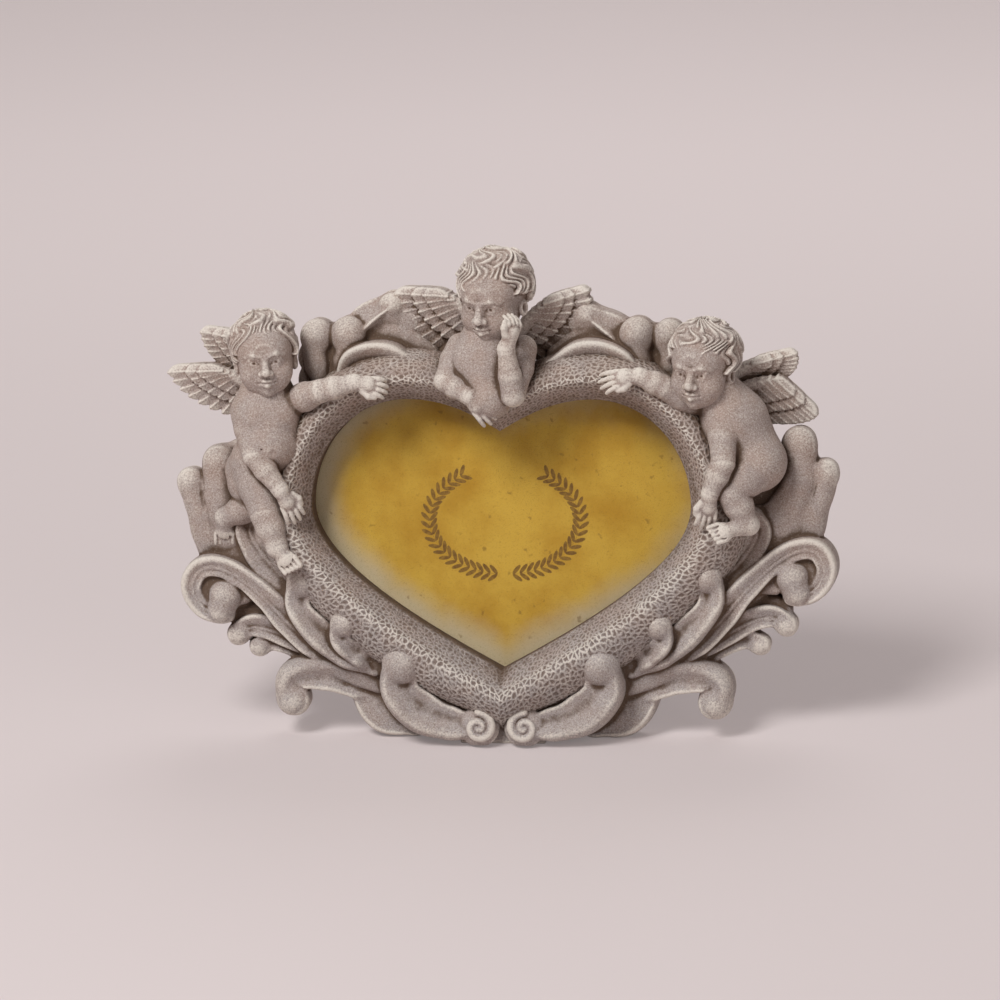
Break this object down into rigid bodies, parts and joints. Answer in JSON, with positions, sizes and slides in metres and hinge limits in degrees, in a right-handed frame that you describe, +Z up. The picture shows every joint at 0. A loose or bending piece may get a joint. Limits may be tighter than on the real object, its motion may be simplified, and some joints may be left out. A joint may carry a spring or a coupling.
{
  "type": "heart shaped photo frame",
  "caption": "Free-standing cast-resin photo frame with a heart window, carved scrolls and cherubs, a glazed insert held by turn buttons, and a hinged easel leg.",
  "frame": {"origin": "centre of the flat foot under the heart's tip, on the surface the frame stands on", "axes": "+Z up, +X to the viewer's right, the picture faces -Y and leans back 12 degrees; easel leg open at rest"},
  "size_m": [0.1995, 0.056, 0.1493],
  "materials": {
    "cast_resin": "matte antique wash",
    "clear_glass": "polished",
    "printed_card": "matte print",
    "hardboard": "flocked dark paper",
    "zinc_steel": "zinc plated",
    "brass_rivet": "satin"
  },
  "bodies": {
    "frame": {"heart_rim": "cast_resin", "left_scrollwork": "cast_resin", "right_scrollwork": "cast_resin", "left_crest_leaves": "cast_resin", "right_crest_leaves": "cast_resin", "left_cherub": "cast_resin", "centre_cherub": "cast_resin", "right_cherub": "cast_resin", "glass_pane": "clear_glass", "insert_card": "printed_card", "backing_board": "hardboard", "hinge_board_leaf": "zinc_steel", "hinge_pin": "zinc_steel", "board_rivets": "brass_rivet", "turn_button_screws": "zinc_steel"},
    "easel_leg": {"easel_leg": "hardboard", "hinge_leg_leaf": "zinc_steel", "leg_rivets": "brass_rivet"},
    "turn_button_upper_left": {"turn_button_upper_left": "zinc_steel"},
    "turn_button_upper_right": {"turn_button_upper_right": "zinc_steel"},
    "turn_button_lower_left": {"turn_button_lower_left": "zinc_steel"},
    "turn_button_lower_right": {"turn_button_lower_right": "zinc_steel"}
  },
  "joints": [
    {"name": "leg_fold", "type": "hinge", "parent": "frame", "child": "easel_leg", "pos_m": [0, 0.02416, 0.07665], "axis": [1, 0, 0], "range_deg": [-24, 0]},
    {"name": "upper_left_button_turn", "type": "hinge", "parent": "frame", "child": "turn_button_upper_left", "pos_m": [-0.028, 0.02943, 0.10958], "axis": [0, -0.9781, 0.2079], "continuous": true},
    {"name": "upper_right_button_turn", "type": "hinge", "parent": "frame", "child": "turn_button_upper_right", "pos_m": [0.028, 0.02943, 0.10958], "axis": [0, -0.9781, 0.2079], "continuous": true},
    {"name": "lower_left_button_turn", "type": "hinge", "parent": "frame", "child": "turn_button_lower_left", "pos_m": [-0.03957, 0.01327, 0.03356], "axis": [0, -0.9781, 0.2079], "continuous": true},
    {"name": "lower_right_button_turn", "type": "hinge", "parent": "frame", "child": "turn_button_lower_right", "pos_m": [0.03957, 0.01327, 0.03356], "axis": [0, -0.9781, 0.2079], "continuous": true}
  ]
}
